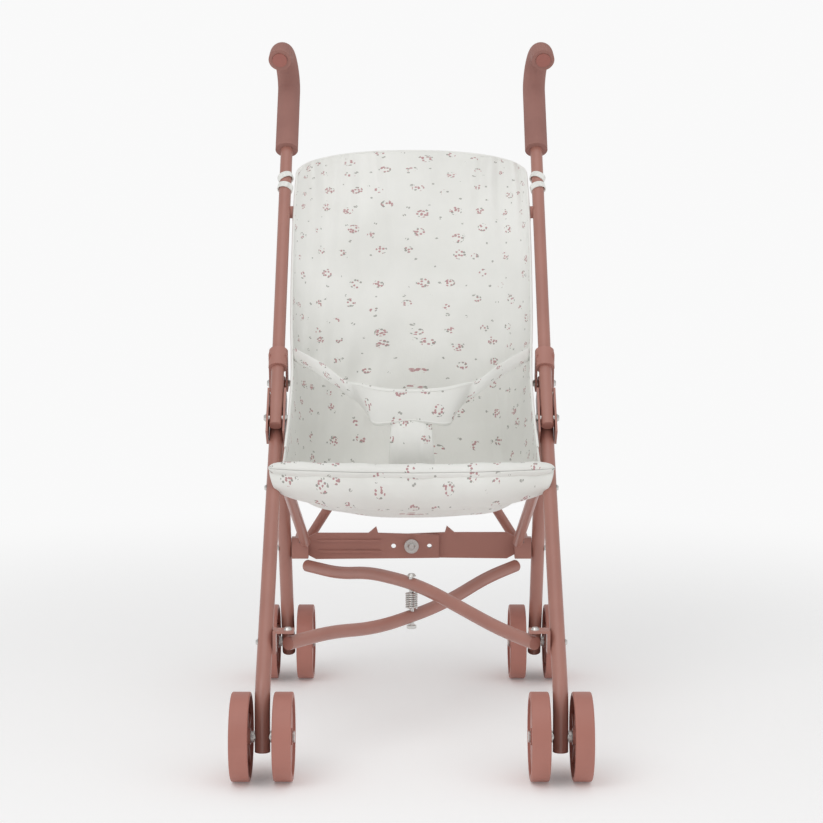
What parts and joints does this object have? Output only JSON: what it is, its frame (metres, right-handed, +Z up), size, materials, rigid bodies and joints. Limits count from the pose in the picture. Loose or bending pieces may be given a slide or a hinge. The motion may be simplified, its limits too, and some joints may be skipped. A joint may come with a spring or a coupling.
{
  "type": "doll stroller",
  "caption": "Folding umbrella stroller for a doll: rose tube frame with hooked grips, crossing tubes, folding lock bar, twin wheels and a printed cotton sling seat with a waist belt.",
  "frame": {"origin": "on the floor, at the middle of the object", "axes": "+Z up, +Y towards the pusher, +X to the right of a person facing the front of the seat"},
  "size_m": [0.2564, 0.4122, 0.5416],
  "materials": {
    "painted_tube": "dusty rose powder coat, satin",
    "moulded_plastic": "dusty rose moulded plastic, satin",
    "wheel_plastic": "dusty rose moulded plastic, fine texture",
    "grip_foam": "dusty rose foam, matt",
    "bright_steel": "zinc plated, bright",
    "printed_cotton": "off-white woven cotton with small printed sprigs"
  },
  "bodies": {
    "seat": {"seat_sling": "printed_cotton", "seat_front_edge": "printed_cotton", "waist_belt": "printed_cotton", "crotch_strap": "printed_cotton", "cross_bolt": "bright_steel", "cross_spring": "bright_steel", "back_pivot": "bright_steel"},
    "left_side": {"left_brace_clip": "moulded_plastic", "left_collar": "moulded_plastic", "left_frame_bolts": "bright_steel", "left_front_axle": "bright_steel", "left_front_bracket": "moulded_plastic", "left_front_leg": "painted_tube", "left_grip": "grip_foam", "left_grip_plug": "moulded_plastic", "left_handle_tube": "painted_tube", "left_hinge_plates": "painted_tube", "left_hinge_rivets": "bright_steel", "left_rear_axle": "bright_steel", "left_rear_bracket": "moulded_plastic", "left_rear_leg": "painted_tube", "left_seat_rail": "painted_tube", "left_tie": "printed_cotton"},
    "right_side": {"right_brace_clip": "moulded_plastic", "right_collar": "moulded_plastic", "right_frame_bolts": "bright_steel", "right_front_axle": "bright_steel", "right_front_bracket": "moulded_plastic", "right_front_leg": "painted_tube", "right_grip": "grip_foam", "right_grip_plug": "moulded_plastic", "right_handle_tube": "painted_tube", "right_hinge_plates": "painted_tube", "right_hinge_rivets": "bright_steel", "right_rear_axle": "bright_steel", "right_rear_bracket": "moulded_plastic", "right_rear_leg": "painted_tube", "right_seat_rail": "painted_tube", "right_tie": "printed_cotton"},
    "upper_cross": {"upper_cross_tube": "painted_tube"},
    "lower_cross": {"lower_cross_tube": "painted_tube"},
    "left_lock": {"left_lock_bar": "moulded_plastic", "lock_rivet": "bright_steel"},
    "right_lock": {"right_lock_bar": "moulded_plastic"},
    "left_brace": {"left_back_brace": "painted_tube"},
    "right_brace": {"right_back_brace": "painted_tube"},
    "left_front_outer_wheel": {"left_front_outer_wheel": "wheel_plastic"},
    "left_front_inner_wheel": {"left_front_inner_wheel": "wheel_plastic"},
    "left_rear_outer_wheel": {"left_rear_outer_wheel": "wheel_plastic"},
    "left_rear_inner_wheel": {"left_rear_inner_wheel": "wheel_plastic"},
    "right_front_outer_wheel": {"right_front_outer_wheel": "wheel_plastic"},
    "right_front_inner_wheel": {"right_front_inner_wheel": "wheel_plastic"},
    "right_rear_outer_wheel": {"right_rear_outer_wheel": "wheel_plastic"},
    "right_rear_inner_wheel": {"right_rear_inner_wheel": "wheel_plastic"}
  },
  "joints": [
    {"name": "fold", "type": "hinge", "parent": "seat", "child": "upper_cross", "pos_m": [0, -0.0236, 0.1128], "axis": [0, 0, -1], "range_deg": [0, 22], "deforming": ["seat_sling", "seat_front_edge", "waist_belt", "crotch_strap"]},
    {"name": "lower_cross_turn", "type": "hinge", "parent": "seat", "child": "lower_cross", "pos_m": [0, -0.0236, 0.0855], "axis": [0, 0, 1], "range_deg": [0, 22]},
    {"name": "left_side_slide", "type": "slide", "parent": "seat", "child": "left_side", "axis": [1, 0, 0], "range_m": [0, 0.0505]},
    {"name": "right_side_slide", "type": "slide", "parent": "seat", "child": "right_side", "axis": [-1, 0, 0], "range_m": [0, 0.0505]},
    {"name": "left_lock_fold", "type": "hinge", "parent": "left_side", "child": "left_lock", "pos_m": [-0.088, 0.1039, 0.12], "axis": [0, -1, 0], "range_deg": [0, 62]},
    {"name": "right_lock_fold", "type": "hinge", "parent": "right_side", "child": "right_lock", "pos_m": [0.088, 0.1073, 0.12], "axis": [0, 1, 0], "range_deg": [0, 62]},
    {"name": "left_brace_turn", "type": "hinge", "parent": "seat", "child": "left_brace", "pos_m": [0, 0.1279, 0.2595], "axis": [0, -1, 0], "range_deg": [0, 17.5]},
    {"name": "right_brace_turn", "type": "hinge", "parent": "seat", "child": "right_brace", "pos_m": [0, 0.1369, 0.2595], "axis": [0, 1, 0], "range_deg": [0, 17.5]},
    {"name": "left_front_outer_spin", "type": "hinge", "parent": "left_side", "child": "left_front_outer_wheel", "pos_m": [-0.12045, -0.1746, 0.0315], "axis": [1, 0, 0], "continuous": true},
    {"name": "left_front_inner_spin", "type": "hinge", "parent": "left_side", "child": "left_front_inner_wheel", "pos_m": [-0.09035, -0.1746, 0.0315], "axis": [1, 0, 0], "continuous": true},
    {"name": "left_rear_outer_spin", "type": "hinge", "parent": "left_side", "child": "left_rear_outer_wheel", "pos_m": [-0.12045, 0.1364, 0.0315], "axis": [1, 0, 0], "continuous": true},
    {"name": "left_rear_inner_spin", "type": "hinge", "parent": "left_side", "child": "left_rear_inner_wheel", "pos_m": [-0.09035, 0.1364, 0.0315], "axis": [1, 0, 0], "continuous": true},
    {"name": "right_front_outer_spin", "type": "hinge", "parent": "right_side", "child": "right_front_outer_wheel", "pos_m": [0.12045, -0.1746, 0.0315], "axis": [1, 0, 0], "continuous": true},
    {"name": "right_front_inner_spin", "type": "hinge", "parent": "right_side", "child": "right_front_inner_wheel", "pos_m": [0.09035, -0.1746, 0.0315], "axis": [1, 0, 0], "continuous": true},
    {"name": "right_rear_outer_spin", "type": "hinge", "parent": "right_side", "child": "right_rear_outer_wheel", "pos_m": [0.12045, 0.1364, 0.0315], "axis": [1, 0, 0], "continuous": true},
    {"name": "right_rear_inner_spin", "type": "hinge", "parent": "right_side", "child": "right_rear_inner_wheel", "pos_m": [0.09035, 0.1364, 0.0315], "axis": [1, 0, 0], "continuous": true}
  ],
  "couplings": [
    {"joint": "lower_cross_turn", "follows": "fold", "ratio": 1},
    {"joint": "left_side_slide", "follows": "fold", "m_per_rad": 0.13151},
    {"joint": "left_lock_fold", "follows": "fold", "ratio": 2.8179},
    {"joint": "left_brace_turn", "follows": "fold", "ratio": 0.79537},
    {"joint": "right_side_slide", "follows": "fold", "m_per_rad": 0.13151},
    {"joint": "right_lock_fold", "follows": "fold", "ratio": 2.8179},
    {"joint": "right_brace_turn", "follows": "fold", "ratio": 0.79537}
  ]
}
